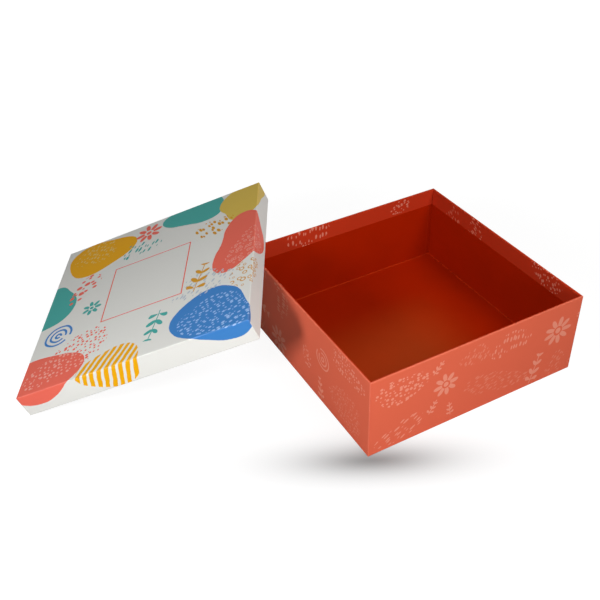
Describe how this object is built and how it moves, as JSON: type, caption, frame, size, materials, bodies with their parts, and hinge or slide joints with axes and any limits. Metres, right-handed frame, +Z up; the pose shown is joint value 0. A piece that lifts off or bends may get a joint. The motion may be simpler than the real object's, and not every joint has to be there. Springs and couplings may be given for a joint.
{
  "type": "cardboard box with lid",
  "caption": "Square rigid cardboard gift box covered in coral printed paper and lined dark red, with its shallow printed lift-off lid leaning on one corner.",
  "frame": {"origin": "middle of the base's underside, on the surface that it stands on", "axes": "+Z up; X and Y along the base's sides, with -Y its front wall; the lid leans on the corner at -X, +Y"},
  "size_m": [0.5221, 0.4474, 0.1186],
  "materials": {
    "red_lined_board": "greyboard with a smooth dark red lining, slightly satin",
    "coral_printed_paper": "coral paper with paler small motifs, matt laminated",
    "white_lined_board": "greyboard with a plain off-white lining, matt",
    "white_printed_paper": "white paper with coloured printed shapes, matt laminated"
  },
  "bodies": {
    "root": {"base_tray": "red_lined_board", "base_wrap": "coral_printed_paper", "lid_tray": "white_lined_board", "lid_wrap": "white_printed_paper"}
  },
  "joints": []
}
